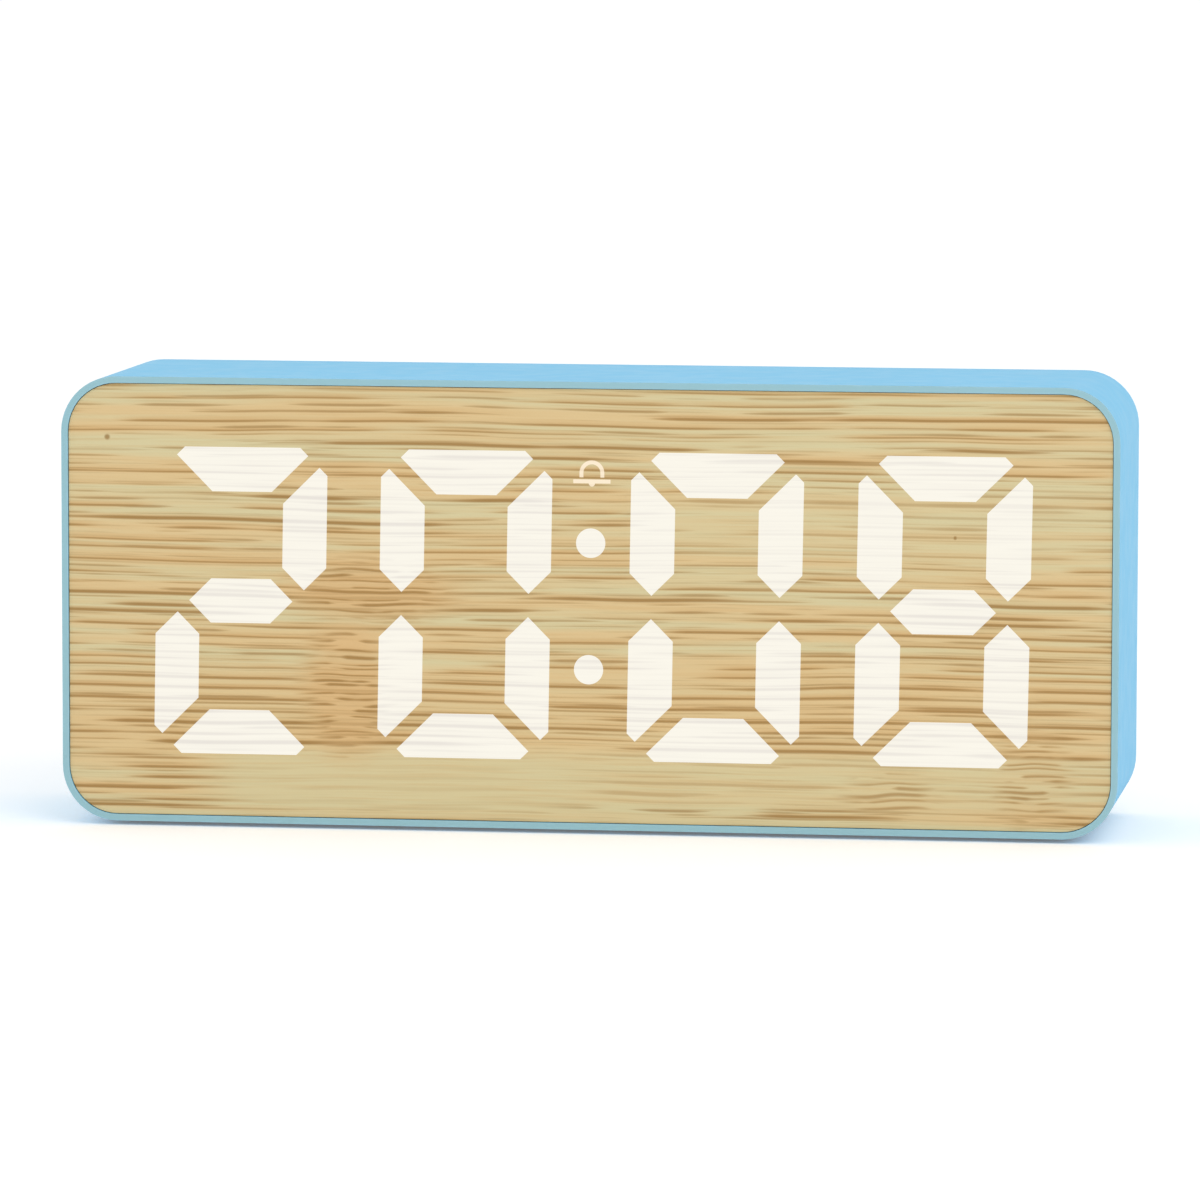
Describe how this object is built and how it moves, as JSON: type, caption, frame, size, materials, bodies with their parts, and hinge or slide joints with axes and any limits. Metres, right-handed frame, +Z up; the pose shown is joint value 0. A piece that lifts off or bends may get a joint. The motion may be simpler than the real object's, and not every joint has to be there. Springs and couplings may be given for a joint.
{
  "type": "digital desk clock",
  "caption": "Rounded box-shaped desk clock with a bamboo face, large lit seven-segment time display, rear buttons, USB inlet and hinged battery door.",
  "frame": {"origin": "on the table under the middle of the case", "axes": "+X to the right as the face is read, +Y from the face to the rear, +Z up"},
  "size_m": [0.162, 0.038, 0.0689],
  "materials": {
    "case_blue": "fine satin texture",
    "bamboo": "matte veneer with fine level grain",
    "lit_segment": "lit, soft white",
    "lit_mark": "lit, warm white",
    "diffuser": "milky",
    "reflector_white": "matte",
    "led": "gloss",
    "board_green": "solder mask",
    "screw_steel": "zinc plated",
    "chip_black": "matte",
    "can_steel": "drawn can",
    "capacitor_sleeve": "shrink sleeve",
    "header_cream": "matte",
    "wire_red": "satin",
    "cover_blue": "fine spark texture",
    "cell_sleeve": "gloss sleeve",
    "contact_steel": "nickel plated",
    "button_white": "satin",
    "foot_rubber": "matte"
  },
  "bodies": {
    "case": {"case_shell": "case_blue", "bamboo_face": "bamboo", "hour_tens_segments": "lit_segment", "hour_units_segments": "lit_segment", "minute_tens_segments": "lit_segment", "minute_units_segments": "lit_segment", "colon_dots": "lit_segment", "alarm_mark": "lit_mark", "diffuser_panel": "diffuser", "segment_reflector": "reflector_white", "segment_leds": "led", "display_board": "board_green", "board_screws": "screw_steel", "controller_chip": "chip_black", "driver_chips": "chip_black", "crystal": "can_steel", "capacitors": "capacitor_sleeve", "display_header": "header_cream", "key_header": "header_cream", "harness_wires": "wire_red", "rear_cover": "cover_blue", "cover_screws": "screw_steel", "battery_cells": "cell_sleeve", "contact_springs": "contact_steel", "contact_plates": "contact_steel", "battery_leads": "wire_red", "key_board": "board_green", "key_board_screws": "screw_steel", "switch_bodies": "chip_black", "usb_socket": "can_steel", "usb_tongue": "chip_black", "buzzer": "chip_black", "rubber_feet": "foot_rubber"},
    "battery_door": {"battery_door": "cover_blue"},
    "button_mode": {"button_mode": "button_white", "plunger_mode": "chip_black"},
    "button_up": {"button_up": "button_white", "plunger_up": "chip_black"},
    "button_down": {"button_down": "button_white", "plunger_down": "chip_black"},
    "button_alarm": {"button_alarm": "button_white", "plunger_alarm": "chip_black"}
  },
  "joints": [
    {"name": "battery_door_hinge", "type": "hinge", "parent": "case", "child": "battery_door", "pos_m": [-0.038, 0.0164, 0.01595], "axis": [-1, 0, 0], "range_deg": [0, 95]},
    {"name": "button_mode_press", "type": "slide", "parent": "case", "child": "button_mode", "axis": [0, -1, 0], "range_m": [0, 0.0005], "stiffness_N_per_m": 600},
    {"name": "button_up_press", "type": "slide", "parent": "case", "child": "button_up", "axis": [0, -1, 0], "range_m": [0, 0.0005], "stiffness_N_per_m": 600},
    {"name": "button_down_press", "type": "slide", "parent": "case", "child": "button_down", "axis": [0, -1, 0], "range_m": [0, 0.0005], "stiffness_N_per_m": 600},
    {"name": "button_alarm_press", "type": "slide", "parent": "case", "child": "button_alarm", "axis": [0, -1, 0], "range_m": [0, 0.0005], "stiffness_N_per_m": 600}
  ]
}
